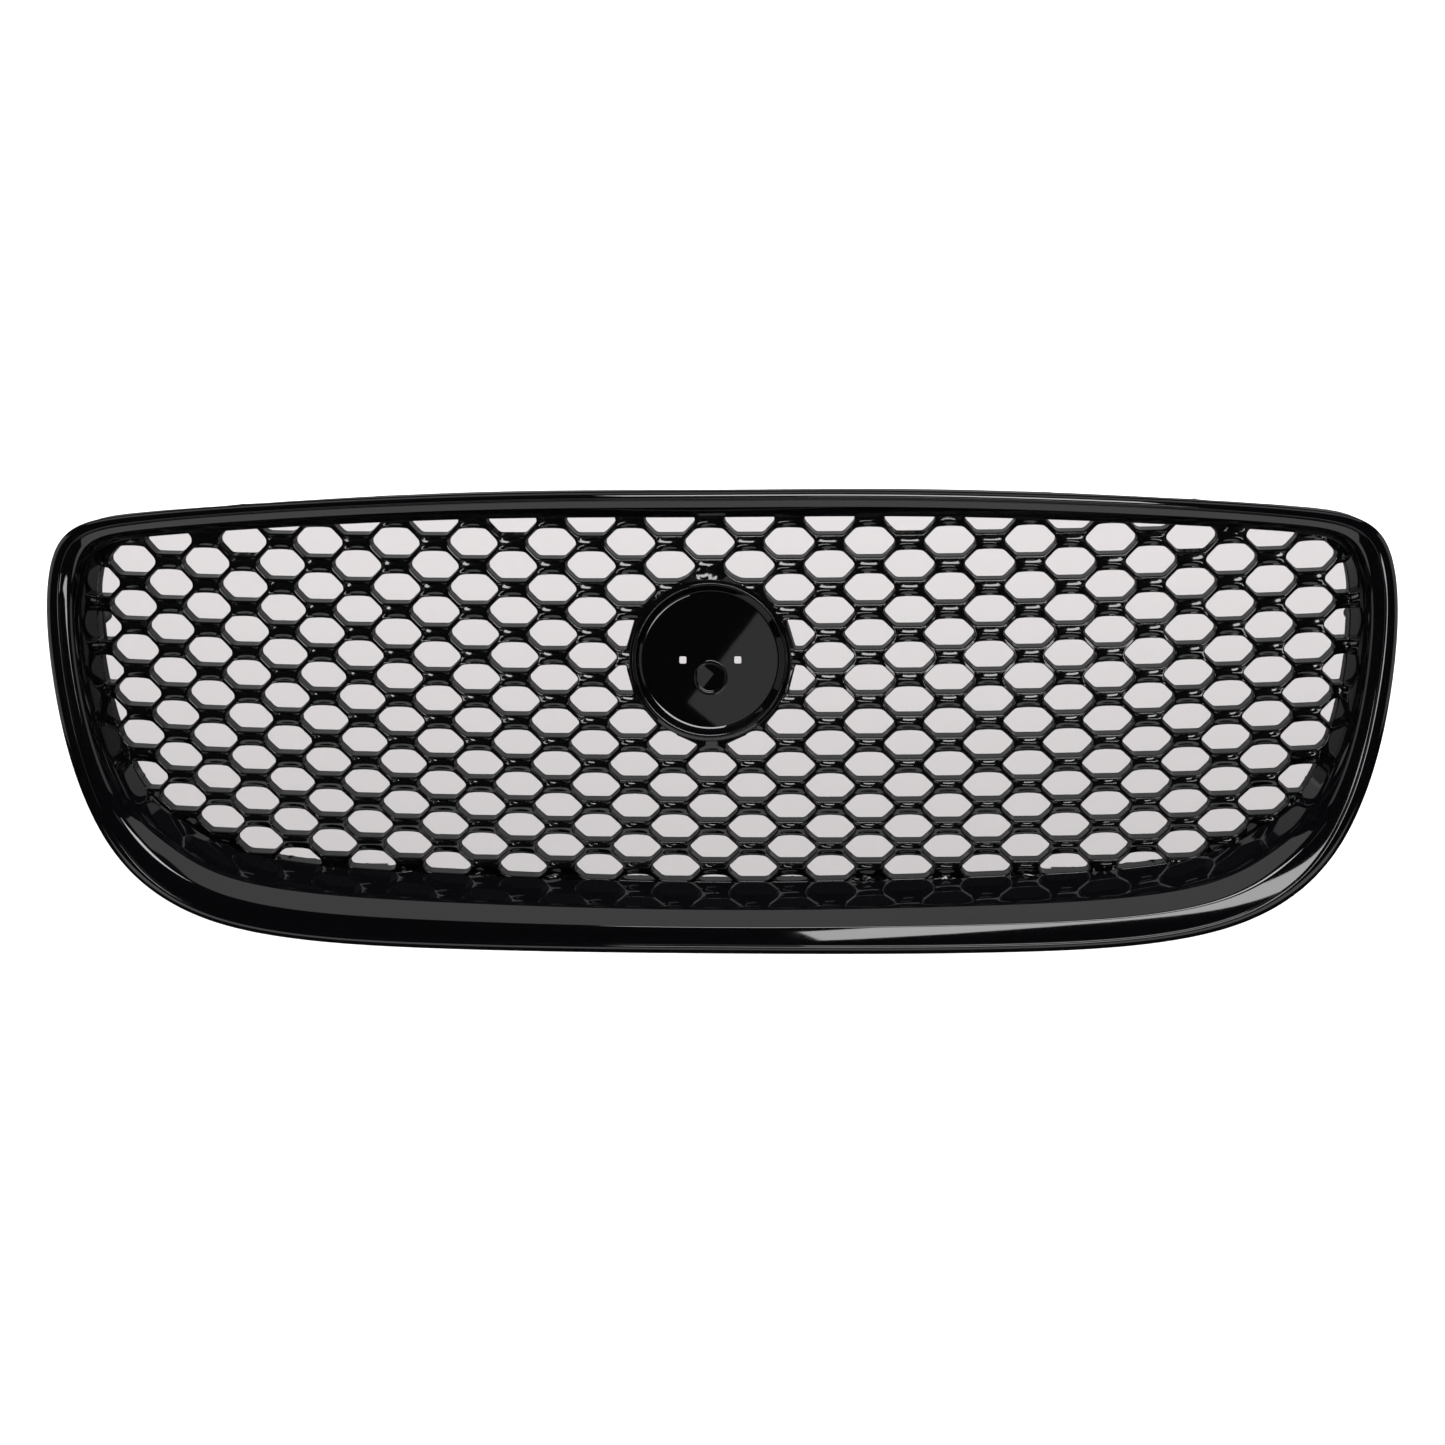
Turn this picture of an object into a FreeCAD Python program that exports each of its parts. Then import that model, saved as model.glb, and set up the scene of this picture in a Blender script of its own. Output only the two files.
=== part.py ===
import FreeCAD, Part
import math
import os
import Sketcher
from FreeCAD import Placement, Rotation, Vector

# Front grille of a car: a gloss-black surround, a honeycomb mesh insert screwed in
# from behind, a round emblem dish, and the brackets, nuts and clips that hold the
# assembly in the bumper. Millimetres. X runs across the car, the front faces -Y and
# Z is up. Shapes are drawn from the front of the mesh on the centre line and written
# out from the centre of the emblem seat. The mould opens along Y, so every cell, boss
# and screw is parallel to Y.

doc = FreeCAD.newDocument("front_grille")
sheet = doc.addObject("Spreadsheet::Sheet", "dims")

# ---------------------------------------------------------------- driving sizes
sizes = [
    # overall shape of the surround
    ("half_width", 417.4), ("rise", 122.7), ("drop", 167.0),
    ("rim_set", 27.0), ("top_width", 19.3), ("side_width", 23.4), ("base_width", 32.2),
    ("skin", 2.8), ("wall_depth", 16.0), ("tuck", 0.9), ("tuck_top", 5.0),
    ("bead_top", 4.5), ("bead_side", 9.5), ("bead_base", 7.5),
    ("crest_top", 4.0), ("crest_side", 4.0), ("crest_base", 6.5),
    # honeycomb
    ("cell_pitch", 24.8), ("row_pitch", 13.926), ("mesh_depth", 8.5),
    ("cell_half_width", 15.7), ("cell_half_height", 8.87),
    ("cell_flat", 8.5), ("cell_end", 1.75), ("flange", 10.5),
    # emblem dish
    ("dish_y", -2.0), ("dish_z", 14.0), ("dish_tilt", 16.0),
    ("ring_radius", 50.8), ("ridge_radius", 47.4), ("floor_radius", 42.1),
    ("dish_recess", 4.2), ("dish_skin", 2.5), ("skirt", 7.0),
    ("collar_radius", 46.2), ("collar_length", 11.0),
    ("eye_offset", 17.2), ("eye_side", 4.5),
    ("boss_drop", 11.0), ("boss_outer", 10.9), ("boss_inner", 9.0), ("boss_rise", 2.4),
    ("post_circle", 39.0), ("post_radius", 4.0), ("lug_thick", 3.0),
    # screws and their seats
    ("screw_radius", 2.0), ("head_radius", 4.3), ("head_height", 2.6),
    ("washer_height", 0.9), ("screw_reach", 13.0), ("screw_gap", 0.1),
    ("seat_radius", 4.8), ("seat_depth", 2.2),
    ("stud_boss_radius", 4.0), ("boss_offset", 5.6),
    # brackets
    ("bracket_width", 28.0), ("bracket_plate", 2.5), ("shelf_length", 34.0),
    ("foot_radius", 4.4), ("fixing_radius", 3.3), ("upper_drop", 7.0), ("lower_drop", 22.0),
    ("nut_width", 15.0), ("nut_length", 20.0), ("nut_sheet", 1.0), ("nut_barrel", 5.0),
    ("tongue_width", 16.0), ("clip_sheet", 0.8), ("clip_width", 12.0),
    ("clip_length", 18.0), ("clip_bow", 3.0),
    ("pin_radius", 4.0), ("pin_length", 22.0), ("foam", 3.0),
]
for row, (alias, value) in enumerate(sizes, start=1):
    sheet.set("A%d" % row, alias)
    sheet.set("B%d" % row, str(value))
    sheet.setAlias("B%d" % row, alias)
doc.recompute()
D = {alias: float(getattr(sheet, alias)) for alias, _ in sizes}


# ------------------------------------------------------------ shared geometry
def mesh_y(x, z):
    """Front surface of the mesh: swept back to the sides, leaning back at the top."""
    u, v = x / 100, z / 100
    return 0.925 * u**2 + 0.0374 * u**4 + 13.93 * v + 7.955 * v**2


def rim_y(x, z):
    """Depth of the surround's outer edge, ahead of the mesh by rim_set."""
    u, v = x / 100, z / 100
    return 0.85 * (0.925 * u**2 + 0.0374 * u**4) + 13.93 * v + 3.0 * v**2 - D["rim_set"]


# Right half of the surround from top centre to bottom centre: the outer edge as
# fractions of half_width and of rise or drop, then the inward step to the edge of
# the mesh as fractions of side_width and of top_width or base_width.
HALF = [
    (0.000, 1.000, 0.00, 1.00), (0.393, 0.983, 0.17, 0.96), (0.873, 0.866, 0.53, 0.90),
    (0.987, 0.684, 0.89, 0.66), (1.000, -0.063, 1.00, 0.01), (0.961, -0.478, 1.16, 0.15),
    (0.901, -0.726, 1.20, 0.63), (0.769, -0.917, 0.68, 1.00), (0.434, -0.995, 0.21, 1.08),
    (0.000, -1.000, 0.00, 1.00),
]
STATIONS = 48
SPANS = 8


def corner(fx, fz, sx, sz):
    tall, wide = (D["rise"], D["top_width"]) if fz > 0 else (D["drop"], D["base_width"])
    outer = Vector(fx * D["half_width"], 0, fz * tall)
    step = Vector(-sx * D["side_width"], 0, -sz * wide if fz > 0 else sz * wide)
    return outer, outer + step


def closed_spline(points, knots=None):
    curve = Part.BSplineCurve()
    if knots:
        curve.interpolate(Points=points, PeriodicFlag=True, Parameters=knots)
    else:
        curve.interpolate(Points=points, PeriodicFlag=True)
    return curve


pairs = [corner(*row) for row in HALF]
pairs += [(Vector(-o.x, 0, o.z), Vector(-i.x, 0, i.z)) for o, i in pairs[-2:0:-1]]
knots = [0.0]
for k in range(len(pairs)):
    chord = pairs[(k + 1) % len(pairs)][0].distanceToPoint(pairs[k][0])
    knots.append(knots[-1] + math.sqrt(chord))
outer_curve = closed_spline([o for o, _ in pairs], knots)
inner_curve = closed_spline([i for _, i in pairs], knots)


def station(k):
    """Outer and inner edge points and the local section sizes at station k: bead width,
    crest height and how far the outer wall tucks in at its rear edge."""
    t = knots[-1] * k / STATIONS
    outer, inner = outer_curve.value(t), inner_curve.value(t)
    step = inner - outer
    side = step.x**2 / (step.x**2 + step.z**2)
    end = "top" if step.z < 0 else "base"
    bead = side * D["bead_side"] + (1 - side) * D["bead_" + end]
    crest = side * D["crest_side"] + (1 - side) * D["crest_" + end]
    top = 1 - side if end == "top" else 0.0
    tuck = D["tuck"] + top * (D["tuck_top"] - D["tuck"])
    return outer, inner, bead, crest, tuck


def loop(rule):
    """Closed curve round the surround, split into equal spans; rule gives the inset
    and depth of its point in each section, from the section's width, its depth to
    the mesh, the bead width, the crest height and the tuck of the outer wall."""
    points = []
    for k in range(STATIONS):
        outer, inner, bead, crest, tuck = station(k)
        inward = Vector(inner - outer)
        width = inward.Length
        inward.normalize()
        front = rim_y(outer.x, outer.z)
        inset, depth = rule(width, mesh_y(inner.x, inner.z) - front, bead, crest, tuck)
        point = outer + inward * inset
        points.append(Vector(point.x, front + depth, point.z))
    curve = closed_spline(points, list(range(STATIONS + 1)))
    run = STATIONS // SPANS
    return [Part.Wire([curve.toShape(k * run, (k + 1) * run)]) for k in range(SPANS)]


def skin_solid(loops):
    """Solid bounded by ruled bands between each loop and the next, last to first."""
    faces = []
    for first, second in zip(loops, loops[1:] + loops[:1]):
        for k in range(SPANS):
            faces += Part.makeLoft([first[k], second[k]], False, True).Faces
    shell = Part.Shell(faces)
    shell.sewShape()
    solid = Part.Solid(shell)
    if solid.Volume < 0:
        solid.reverse()
    return solid


def boundary_point(k):
    """Edge of the mesh at station k, and the unit vector pointing out of it."""
    outer, inner = station(k)[:2]
    away = outer - inner
    away.normalize()
    return inner, away


def add_part(name, shape):
    part = doc.addObject("Part::Feature", name)
    part.Label = name
    part.Shape = shape
    return part


# ---------------------------------------------------------------- fixing points
# Screw positions round the mesh: the crossing of the boss line with a given x (top
# and bottom) or z (sides). The boss line runs boss_offset outside the mesh edge.
line_points = []
for k in range(STATIONS):
    inner, away = boundary_point(k)
    line_points.append(inner + away * D["boss_offset"])
boss_line = closed_spline(line_points)
TOP_X = (40, 120, 210, 300)
BASE_X = (50, 140, 230)
SIDE_Z = (50, -15)


def on_boss_line(x=None, z=None, upper=True):
    """Point of the boss line at the given x (upper or lower run) or z (right side)."""
    best = None
    first, last = boss_line.FirstParameter, boss_line.LastParameter
    for k in range(2001):
        point = boss_line.value(first + (last - first) * k / 2000)
        if x is not None and (point.z > 0) != upper:
            continue
        if z is not None and point.x < 0:
            continue
        miss = abs(point.x - x) if x is not None else abs(point.z - z)
        if best is None or miss < best[0]:
            best = (miss, point)
    return best[1]


def mirrored(points):
    return points + [Vector(-p.x, p.y, p.z) for p in points]


scale_x = D["half_width"] / 417.4
scale_z = D["rise"] / 122.7
top_fixings = mirrored([on_boss_line(x=x * scale_x) for x in TOP_X])
base_fixings = mirrored([on_boss_line(x=x * scale_x, upper=False) for x in BASE_X])
side_fixings = mirrored([on_boss_line(z=z * scale_z) for z in SIDE_Z])
fixings = top_fixings + base_fixings + side_fixings


def seat_y(point):
    """Flat screw seat cut into the back of the mesh frame at this fixing."""
    return mesh_y(point.x, point.z) + D["mesh_depth"] - D["seat_depth"]


def boss_end(point):
    """Rear end of the surround's boss, just clear of the sloping mesh frame."""
    r = D["stud_boss_radius"]
    around = [(0, r), (0, -r), (r, 0), (-r, 0), (0.7 * r, -0.7 * r), (-0.7 * r, -0.7 * r)]
    return min(mesh_y(point.x + dx, point.z + dz) for dx, dz in around) - 0.1


def along_y(radius, start, end, point):
    base = Vector(point.x, start, point.z)
    return Part.makeCylinder(radius, end - start, base, Vector(0, 1, 0))


# ------------------------------------------------------------------- surround
# One moulding, hollow behind: outer wall, rolled bead, crease, convex shoulder and
# the inner wall that runs back to the mesh. Screw bosses stand in the channel.
gap = D["screw_gap"]
skin = D["skin"]


def shoulder(fx, fd, offset=0.0):
    """Rule for a point of the shoulder at fractions of its width and depth, moved
    under the skin by offset."""
    def rule(width, depth, bead, crest, tuck):
        run, fall = width - bead, depth - gap + crest
        inset, back = bead + fx * run, -crest + fd * fall
        slope = math.atan2(fd * fall, fx * run)
        return inset - offset * math.sin(slope), back + offset * math.cos(slope)
    return rule


surround_shell = skin_solid([
    # outer wall, bead and crease
    loop(lambda w, d, b, c, t: (t, D["wall_depth"])),
    loop(lambda w, d, b, c, t: (0.0, 0.0)),
    loop(lambda w, d, b, c, t: (0.14 * b, -0.52 * c)),
    loop(lambda w, d, b, c, t: (0.45 * b, -0.9 * c)),
    loop(lambda w, d, b, c, t: (b - 1.0, -c)),
    loop(lambda w, d, b, c, t: (b, 0.9 - c)),
    # shoulder, turning into the inner wall
    loop(lambda w, d, b, c, t: (b + 1.0, 0.2 - c)),
    loop(shoulder(0.28, 0.03)),
    loop(shoulder(0.50, 0.09)),
    loop(shoulder(0.70, 0.19)),
    loop(shoulder(0.85, 0.36)),
    loop(shoulder(0.95, 0.64)),
    loop(lambda w, d, b, c, t: (w, d - gap)),
    # back through the hollow side
    loop(lambda w, d, b, c, t: (w - skin, d - gap)),
    loop(shoulder(0.95, 0.64, skin)),
    loop(shoulder(0.85, 0.36, skin)),
    loop(shoulder(0.70, 0.19, skin)),
    loop(shoulder(0.50, 0.09, skin)),
    loop(lambda w, d, b, c, t: (b - 0.4, 0.7 - c + skin)),
    loop(lambda w, d, b, c, t: (0.9 + skin, 0.6 + skin)),
    loop(lambda w, d, b, c, t: (t + skin, D["wall_depth"])),
])
bosses = [along_y(D["stud_boss_radius"], boss_end(p) - 12, boss_end(p), p) for p in fixings]
pilots = [along_y(D["screw_radius"] + 0.05, boss_end(p) - 10, boss_end(p) + 1, p) for p in fixings]
surround_shape = surround_shell.fuse(bosses).cut(pilots)
surround = add_part("surround", surround_shape.Solids[0])

# ---------------------------------------------------------------- mesh insert
# A curved slab with octagonal cells cut straight through along Y, framed by a solid
# flange that lies behind the surround's inner wall. A tilted collar in the middle
# carries the emblem dish on three screw lugs.
TILT = Rotation(Vector(1, 0, 0), 90 - D["dish_tilt"])
DISH = Placement(Vector(0, D["dish_y"], D["dish_z"]), TILT)
PLANE_Y = -150.0

reach_x, reach_z = 1.08 * D["half_width"], 1.15 * max(D["rise"], D["drop"])
grid = []
for i in range(17):
    x = reach_x * (i / 8 - 1)
    column = [(x, reach_z * (j / 5 - 1)) for j in range(11)]
    grid.append([Vector(u, mesh_y(u, v), v) for u, v in column])
front_surface = Part.BSplineSurface()
front_surface.interpolate(grid)
slab = front_surface.toShape().extrude(Vector(0, D["mesh_depth"], 0))


def flat_ring(offset):
    """Mesh edge moved out by offset, laid flat in the plane in front of the grille."""
    points = []
    for k in range(STATIONS):
        inner, away = boundary_point(k)
        point = inner + away * offset
        points.append(Vector(point.x, PLANE_Y, point.z))
    return Part.Wire([closed_spline(points).toShape()])


def cell_outline(x, z):
    """Octagonal opening: flat top and bottom, slanted sides and short upright ends."""
    flat, end = D["cell_flat"], D["cell_end"]
    wide, tall = D["cell_half_width"], D["cell_half_height"]
    quarter = [(flat, tall), (wide, end)]
    right = quarter + [(px, -pz) for px, pz in reversed(quarter)]
    ring = right + [(-px, -pz) for px, pz in right]
    points = [Vector(x + px, PLANE_Y, z + pz) for px, pz in ring]
    return Part.makePolygon(points + [points[0]])


window = Part.Face(flat_ring(-0.4))
cells = []
columns = int(D["half_width"] / D["cell_pitch"]) + 1
rows_up = int(D["rise"] / D["row_pitch"]) + 1
rows_down = int(D["drop"] / D["row_pitch"]) + 1
for a in range(-columns, columns + 1):
    for b in range(-rows_down, rows_up + 1):
        x, z = a * D["cell_pitch"], b * D["row_pitch"]
        if (a + b) % 2 or math.hypot(x, z - D["dish_z"]) < 30:
            continue
        outline = cell_outline(x, z)
        inside = [window.isInside(v.Point, 0.01, True) for v in outline.Vertexes]
        if all(inside):
            cells.append(outline)
        elif any(inside):
            part_cell = Part.Face(outline).common(window)
            if part_cell.Area > 60:
                cells.append(part_cell.Faces[0].OuterWire)

THROUGH = Vector(0, 350, 0)
mesh_shape = slab.common(Part.Face(flat_ring(D["flange"])).extrude(THROUGH))
mesh_shape = mesh_shape.cut([Part.Face(outline).extrude(THROUGH) for outline in cells])


def dish_cylinder(radius, low, high, x=0.0, y=0.0):
    """Cylinder along the emblem axis between two heights, in the dish frame."""
    cylinder = Part.makeCylinder(radius, high - low, Vector(x, y, low))
    cylinder.Placement = DISH
    return cylinder


# Three posts join dish and mesh; one points up, so none falls behind the ring boss.
post_spots = []
for angle in (90, 210, 330):
    turn = math.radians(angle)
    post_spots.append((D["post_circle"] * math.cos(turn), D["post_circle"] * math.sin(turn)))
lug_front = -D["skirt"] - D["collar_length"] + D["lug_thick"]
lug_back = -D["skirt"] - D["collar_length"]

cutters = [
    dish_cylinder(D["ring_radius"] + 0.1, -D["skirt"], 60),
    dish_cylinder(D["collar_radius"], -80, 60),
]
for p in fixings:
    cutters.append(along_y(D["screw_radius"] + 0.3, mesh_y(p.x, p.z) - 20, seat_y(p) + 1, p))
    cutters.append(along_y(D["seat_radius"], seat_y(p), seat_y(p) + 30, p))
mesh_shape = mesh_shape.cut(cutters)

collar = dish_cylinder(D["ring_radius"], lug_back, -D["skirt"])
collar = collar.cut(dish_cylinder(D["collar_radius"], lug_back - 1, 1 - D["skirt"]))
for x, y in post_spots:
    collar = collar.fuse(dish_cylinder(D["post_radius"] + 4.5, lug_back, lug_front, x, y))
for x, y in post_spots:
    collar = collar.cut(dish_cylinder(D["screw_radius"] + 0.3, lug_back - 1, lug_front + 1, x, y))
mesh_shape = mesh_shape.fuse(collar)
mesh_insert = add_part("mesh_insert", mesh_shape.Solids[0])


# ----------------------------------------------------- sketched solid bodies
def origin_plane(body, role):
    return [f for f in body.Origin.OriginFeatures if f.Role == role][0]


def sketch_in(body, name, role, lift=None):
    """Empty sketch on one of the body's own origin planes, lifted by a sheet size."""
    sketch = body.newObject("Sketcher::SketchObject", name)
    sketch.AttachmentSupport = [(origin_plane(body, role), "")]
    sketch.MapMode = "FlatFace"
    if lift:
        sketch.setExpression("AttachmentOffset.Base.z", lift)
    return sketch


def polygon(sketch, corners):
    """Closed outline; every corner is dimensioned from the origin by two formulas."""
    start = sketch.GeometryCount
    count = len(corners)
    values = [[sheet_value(c) for c in corner] for corner in corners]
    for k in range(count):
        a, b = values[k], values[(k + 1) % count]
        sketch.addGeometry(Part.LineSegment(Vector(a[0], a[1], 0), Vector(b[0], b[1], 0)))
    for k in range(count):
        nxt = start + (k + 1) % count
        sketch.addConstraint(Sketcher.Constraint("Coincident", start + k, 2, nxt, 1))
    for k in range(count):
        for axis, kind in enumerate(("DistanceX", "DistanceY")):
            value = values[k][axis]
            if abs(value) < 1e-9:
                on = -2 if axis == 0 else -1
                sketch.addConstraint(Sketcher.Constraint("PointOnObject", start + k, 1, on))
                continue
            item = Sketcher.Constraint(kind, -1, 1, start + k, 1, value)
            index = sketch.addConstraint(item)
            sketch.setExpression("Constraints[%d]" % index, corners[k][axis])


def circle(sketch, radius, x="0", y="0"):
    """Circle whose radius and centre follow formulas."""
    centre = Vector(sheet_value(x), sheet_value(y), 0)
    shape = Part.Circle(centre, Vector(0, 0, 1), sheet_value(radius))
    k = sketch.addGeometry(shape)
    index = sketch.addConstraint(Sketcher.Constraint("Radius", k, sheet_value(radius)))
    sketch.setExpression("Constraints[%d]" % index, radius)
    for kind, text, value, on in (("DistanceX", x, centre.x, -2), ("DistanceY", y, centre.y, -1)):
        if abs(value) < 1e-9:
            sketch.addConstraint(Sketcher.Constraint("PointOnObject", k, 3, on))
        else:
            index = sketch.addConstraint(Sketcher.Constraint(kind, -1, 1, k, 3, value))
            sketch.setExpression("Constraints[%d]" % index, text)


def sheet_value(text):
    """Value of a formula in sheet sizes, such as 'dims.skirt * 2 - 1'."""
    return float(sheet.evalExpression(text))


def grow(body, kind, name, sketch, length, both=False, flip=False):
    """Pad or pocket a sketch by a formula; both makes it symmetric."""
    feature = body.newObject("PartDesign::" + kind, name)
    feature.Profile = sketch
    feature.setExpression("Length", length)
    feature.Midplane = both
    feature.Reversed = flip
    doc.recompute()
    return feature


def revolve(body, name, sketch):
    feature = body.newObject("PartDesign::Revolution", name)
    feature.Profile = sketch
    feature.ReferenceAxis = (sketch, ["V_Axis"])
    feature.Angle = 360
    doc.recompute()
    return feature


def new_body(name):
    body = doc.addObject("PartDesign::Body", name)
    body.Label = name
    return body


# ----------------------------------------------------------------- emblem dish
# Turned shape: skirt, sloping ring, ridge, bevel and flat floor. Two square eyes and
# a low ring boss take the pegs of an emblem; three posts behind take the screws.
badge_dish = new_body("badge_dish")
under = "-dims.dish_recess - dims.dish_skin"
dish_sketch = sketch_in(badge_dish, "dish_section", "XZ_Plane")
polygon(dish_sketch, [
    ("0", "-dims.dish_recess"),
    ("dims.floor_radius", "-dims.dish_recess"),
    ("dims.ridge_radius - 0.5", "0.8"),
    ("dims.ridge_radius + 0.5", "0.8"),
    ("dims.ring_radius", "-0.8"),
    ("dims.ring_radius", "-dims.skirt"),
    ("dims.ring_radius - dims.dish_skin", "-dims.skirt"),
    ("dims.ring_radius - dims.dish_skin", "-2.6"),
    ("dims.floor_radius + 1", under),
    ("0", under),
])
revolve(badge_dish, "dish_turned", dish_sketch)

boss_sketch = sketch_in(badge_dish, "boss_ring", "XY_Plane", "-dims.dish_recess - 1")
circle(boss_sketch, "dims.boss_outer", y="-dims.boss_drop")
circle(boss_sketch, "dims.boss_inner", y="-dims.boss_drop")
grow(badge_dish, "Pad", "boss_pad", boss_sketch, "dims.boss_rise + 1")

eye_sketch = sketch_in(badge_dish, "eyes", "XY_Plane")
for inner, outer in (("dims.eye_offset - dims.eye_side / 2", "dims.eye_offset + dims.eye_side / 2"),
                     ("-dims.eye_offset + dims.eye_side / 2",
                      "-dims.eye_offset - dims.eye_side / 2")):
    polygon(eye_sketch, [
        (inner, "-dims.eye_side / 2"), (outer, "-dims.eye_side / 2"),
        (outer, "dims.eye_side / 2"), (inner, "dims.eye_side / 2"),
    ])
grow(badge_dish, "Pocket", "eye_pocket", eye_sketch, "dims.skirt + 1")

post_sketch = sketch_in(badge_dish, "posts", "XY_Plane",
                        "-dims.skirt - dims.collar_length + dims.lug_thick")
post_x = "dims.post_circle * cos(30 deg)"
post_y = "-dims.post_circle * sin(30 deg)"
post_places = [("0", "dims.post_circle"), (post_x, post_y), ("-" + post_x, post_y)]
for x, y in post_places:
    circle(post_sketch, "dims.post_radius", x, y)
grow(badge_dish, "Pad", "post_pad", post_sketch,
     "dims.skirt + dims.collar_length - dims.lug_thick - dims.dish_recess - dims.dish_skin + 1")
pilot_sketch = sketch_in(badge_dish, "post_pilots", "XY_Plane",
                         "-dims.skirt - dims.collar_length + dims.lug_thick")
for x, y in post_places:
    circle(pilot_sketch, "dims.screw_radius + 0.05", x, y)
grow(badge_dish, "Pocket", "pilot_pocket", pilot_sketch, "7.8", flip=True)
badge_dish.Placement = DISH

# ---------------------------------------------------------------------- screws
# Pan-head thread-forming screw with a washer face and a cross recess; the head
# seats at z = 0 of its own frame and the shank points along -z.


def screw_body(name, reach):
    body = new_body(name)
    section = sketch_in(body, name + "_section", "XZ_Plane")
    polygon(section, [
        ("0", "dims.head_height"),
        ("dims.head_radius * 0.55", "dims.head_height"),
        ("dims.head_radius * 0.78", "dims.head_height * 0.75"),
        ("dims.head_radius * 0.78", "dims.washer_height"),
        ("dims.head_radius", "dims.washer_height"),
        ("dims.head_radius", "0"),
        ("dims.screw_radius", "0"),
        ("dims.screw_radius", "1.2 - " + reach),
        ("dims.screw_radius * 0.4", "-" + reach),
        ("0", "-" + reach),
    ])
    revolve(body, name + "_turned", section)
    cross = sketch_in(body, name + "_cross", "XY_Plane", "dims.head_height")
    arm, half = "dims.head_radius * 0.45", "dims.head_radius * 0.09"
    polygon(cross, [
        (half, half), (half, arm), ("-" + half, arm), ("-" + half, half),
        ("-" + arm, half), ("-" + arm, "-" + half), ("-" + half, "-" + half),
        ("-" + half, "-" + arm), (half, "-" + arm), (half, "-" + half),
        (arm, "-" + half), (arm, half),
    ])
    grow(body, "Pocket", name + "_recess", cross, "dims.head_height * 0.6")
    return body


REARWARD = Rotation(Vector(1, 0, 0), -90)


def placed(body, places):
    """Group of separate copies of a body's solid, one at each placement."""
    copies = []
    for place in places:
        copy = body.Shape.copy()
        copy.Placement = place
        copies.append(copy)
    return Part.makeCompound(copies)


FOOT = 4.0
bracket_top = [top_fixings[k] for k in (1, 3, 5, 7)]
bracket_base = [base_fixings[k] for k in (0, 2, 3, 5)]
side_upper = [p for p in side_fixings if p.z > 0]
screwed = bracket_top + bracket_base + side_upper
plain = [p for p in fixings if p not in screwed]
short_screw = screw_body("short_screw", "dims.screw_reach")
long_screw = screw_body("long_screw", "(dims.screw_reach + 10)")
dish_screw = screw_body("dish_screw", "(dims.screw_reach - 3)")


def seat_place(point, back=0.0):
    return Placement(Vector(point.x, seat_y(point) + back, point.z), REARWARD)


mesh_screws = add_part("mesh_screws", placed(short_screw, [seat_place(p) for p in plain]))
dish_places = []
for x, y in post_spots:
    local = Placement(Vector(x, y, lug_back), Rotation(Vector(1, 0, 0), 180))
    dish_places.append(DISH.multiply(local))
badge_screws = add_part("badge_screws", placed(dish_screw, dish_places))

# -------------------------------------------------------------------- brackets
# Upper and lower brackets are one L section padded across: plate, then shelf, which
# stays low enough to be out of sight from in front. A round foot reaches into the
# screw seat. The lower shelf is a narrow tongue.


def bracket_body(name, point, shelf_width, upper):
    body = new_body(name)
    head = "3" if upper else "dims.foot_radius"
    shelf_top = "-dims.upper_drop" if upper else "dims.bracket_plate - dims.lower_drop"
    shelf_low = shelf_top + " - dims.bracket_plate"
    near, far = "%g" % FOOT, "%g + dims.bracket_plate" % FOOT
    plate = sketch_in(body, name + "_plate", "YZ_Plane")
    polygon(plate, [(near, shelf_low), (far, shelf_low), (far, head), (near, head)])
    grow(body, "Pad", name + "_plate_pad", plate, "dims.bracket_width", both=True)
    shelf = sketch_in(body, name + "_shelf", "YZ_Plane")
    end = "%g + dims.shelf_length" % FOOT
    polygon(shelf, [(near, shelf_low), (end, shelf_low), (end, shelf_top), (near, shelf_top)])
    grow(body, "Pad", name + "_shelf_pad", shelf, shelf_width, both=True)
    foot = sketch_in(body, name + "_foot", "XZ_Plane")
    circle(foot, "dims.foot_radius")
    grow(body, "Pad", name + "_foot_pad", foot, "%g + 0.5" % FOOT, flip=True)
    hole = sketch_in(body, name + "_hole", "XZ_Plane")
    circle(hole, "dims.screw_radius + 0.3")
    grow(body, "Pocket", name + "_hole_pocket", hole, "30")
    if upper:
        slot = sketch_in(body, name + "_fixing", "XY_Plane")
        circle(slot, "dims.fixing_radius", y="%g + dims.shelf_length - 12" % FOOT)
        grow(body, "Pocket", name + "_fixing_pocket", slot, "30")
    body.Placement = Placement(Vector(point.x, seat_y(point), point.z), Rotation())
    return body


def side_of(point):
    return "right" if point.x > 0 else "left"


nodes = {
    "surround": surround, "mesh_insert": mesh_insert, "badge_dish": badge_dish,
    "mesh_screws": mesh_screws, "badge_screws": badge_screws,
}
for points, upper, width, word in (
        (bracket_top, True, "dims.bracket_width", "upper"),
        (bracket_base, False, "dims.tongue_width", "lower")):
    limit = sorted(abs(p.x) for p in points)[1] + 1
    for p in points:
        place = "inner" if abs(p.x) < limit else "outer"
        name = "%s_bracket_%s_%s" % (word, side_of(p), place)
        nodes[name] = bracket_body(name, p, width, upper)

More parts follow.
